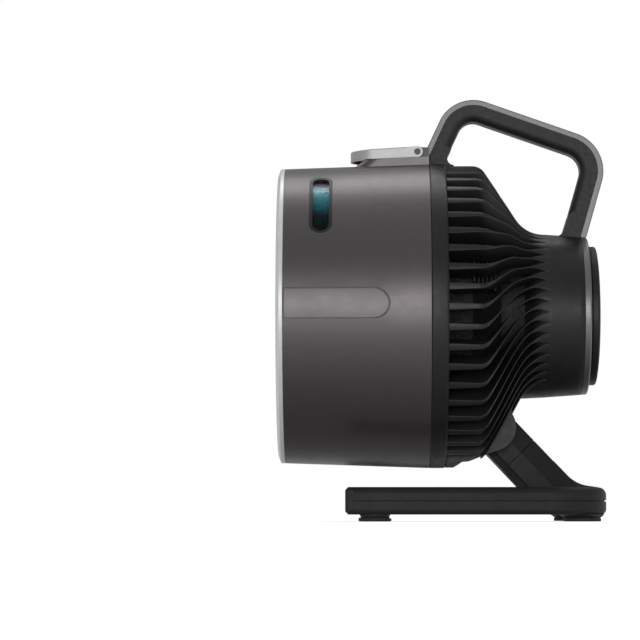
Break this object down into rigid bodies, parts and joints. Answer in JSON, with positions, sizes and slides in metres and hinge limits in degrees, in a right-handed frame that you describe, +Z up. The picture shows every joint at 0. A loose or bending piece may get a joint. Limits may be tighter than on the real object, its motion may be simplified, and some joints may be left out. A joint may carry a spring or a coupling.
{
  "type": "cordless misting fan",
  "caption": "Portable barrel-shaped misting fan with a carry handle, water tank, intake vanes and a tilting U-shaped stand.",
  "frame": {"origin": "on the floor, in the middle of the object's footprint", "axes": "+Z up, the fan blows towards -Y, the carry handle and controls are towards +Y, +X is across the fan"},
  "size_m": [0.228, 0.2448, 0.3156],
  "materials": {
    "shell_grey": "metallic satin",
    "shell_black": "satin",
    "bright_silver": "satin metallic",
    "trim_grey": "satin metallic",
    "grille_black": "satin",
    "clear_pane": "clear",
    "tank_clear": "translucent teal",
    "inner_black": "matt",
    "impeller_grey": "satin",
    "dial_black": "fine texture",
    "panel_gloss": "gloss",
    "button_grey": "satin",
    "light_lens": "frosted",
    "steel": "brushed",
    "dark_steel": "black oxide",
    "cell_wrap": "shrink wrap over a metal can",
    "nickel": "plain",
    "board_green": "solder mask",
    "copper_core": "laminated with enamelled wire",
    "magnet": "plated",
    "rubber_black": "matt",
    "silicone": "translucent white",
    "soft_grip": "soft touch",
    "ballast_iron": "rough",
    "brass": "plain",
    "base_black": "satin"
  },
  "bodies": {
    "stand": {"base_upper_shell": "base_black", "base_lower_shell": "base_black", "end_plugs": "base_black", "front_pads": "rubber_black", "rear_pads": "rubber_black", "base_ballast": "ballast_iron", "base_screws": "dark_steel", "arm_head": "base_black", "arm_lower": "base_black", "arm_underside_cover": "base_black", "arm_core": "dark_steel", "tilt_pin": "steel", "friction_washers": "steel"},
    "impeller": {"impeller": "impeller_grey", "rotor_can": "dark_steel", "rotor_magnets": "magnet", "motor_shaft": "steel", "impeller_nut": "brass"},
    "tank_lid": {"lid_cover": "bright_silver", "lid_plug": "rubber_black"},
    "speed_dial": {"speed_dial": "dial_black"},
    "power_button": {"power_button": "button_grey"},
    "mist_button": {"mist_button": "button_grey"},
    "charge_flap": {"charge_flap": "rubber_black"},
    "head": {"front_shell": "shell_grey", "side_inlays": "shell_grey", "window_rims": "shell_black", "window_panes": "clear_pane", "front_ring": "bright_silver", "front_grille": "grille_black", "mist_nozzle": "inner_black", "nozzle_ring": "bright_silver", "fill_gasket": "silicone", "water_tank": "tank_clear", "air_duct": "inner_black", "rear_housing": "shell_black", "tilt_bracket": "shell_black", "rear_ring": "trim_grey", "handle_grip": "soft_grip", "handle_trim": "trim_grey", "lid_hinge_block": "trim_grey", "lid_hinge_pin": "steel", "control_panel": "panel_gloss", "level_lights": "light_lens", "control_board": "board_green", "tact_switches": "dark_steel", "charge_socket": "nickel", "charge_seat": "inner_black", "charge_flap_pin": "steel", "battery_can": "inner_black", "battery_cells": "cell_wrap", "cell_holders": "inner_black", "cell_links": "nickel", "motor_mount": "inner_black", "motor_bearings": "steel", "motor_stator": "copper_core", "water_pump": "inner_black", "pump_cradle": "inner_black", "feed_hose": "silicone", "mist_hose": "silicone"}
  },
  "joints": [
    {"name": "tilt", "type": "hinge", "parent": "stand", "child": "head", "pos_m": [0, 0.0379, 0.0697], "axis": [-1, 0, 0], "range_deg": [-10, 45]},
    {"name": "impeller_spin", "type": "hinge", "parent": "head", "child": "impeller", "pos_m": [0, -0.045, 0.1536], "axis": [0, 1, 0], "continuous": true},
    {"name": "lid_hinge", "type": "hinge", "parent": "head", "child": "tank_lid", "pos_m": [0, -0.0165, 0.2759], "axis": [-1, 0, 0], "range_deg": [0, 100]},
    {"name": "dial_turn", "type": "hinge", "parent": "head", "child": "speed_dial", "pos_m": [0, 0.1138, 0.1536], "axis": [0, 1, 0], "range_deg": [0, 270]},
    {"name": "power_press", "type": "slide", "parent": "head", "child": "power_button", "axis": [0, -1, 0], "range_m": [0, 0.0006], "stiffness_N_per_m": 900},
    {"name": "mist_press", "type": "slide", "parent": "head", "child": "mist_button", "axis": [0, -1, 0], "range_m": [0, 0.0006], "stiffness_N_per_m": 900},
    {"name": "flap_hinge", "type": "hinge", "parent": "head", "child": "charge_flap", "pos_m": [-0.0572, 0.0844, 0.1536], "axis": [0, 0, 1], "range_deg": [0, 90]}
  ]
}
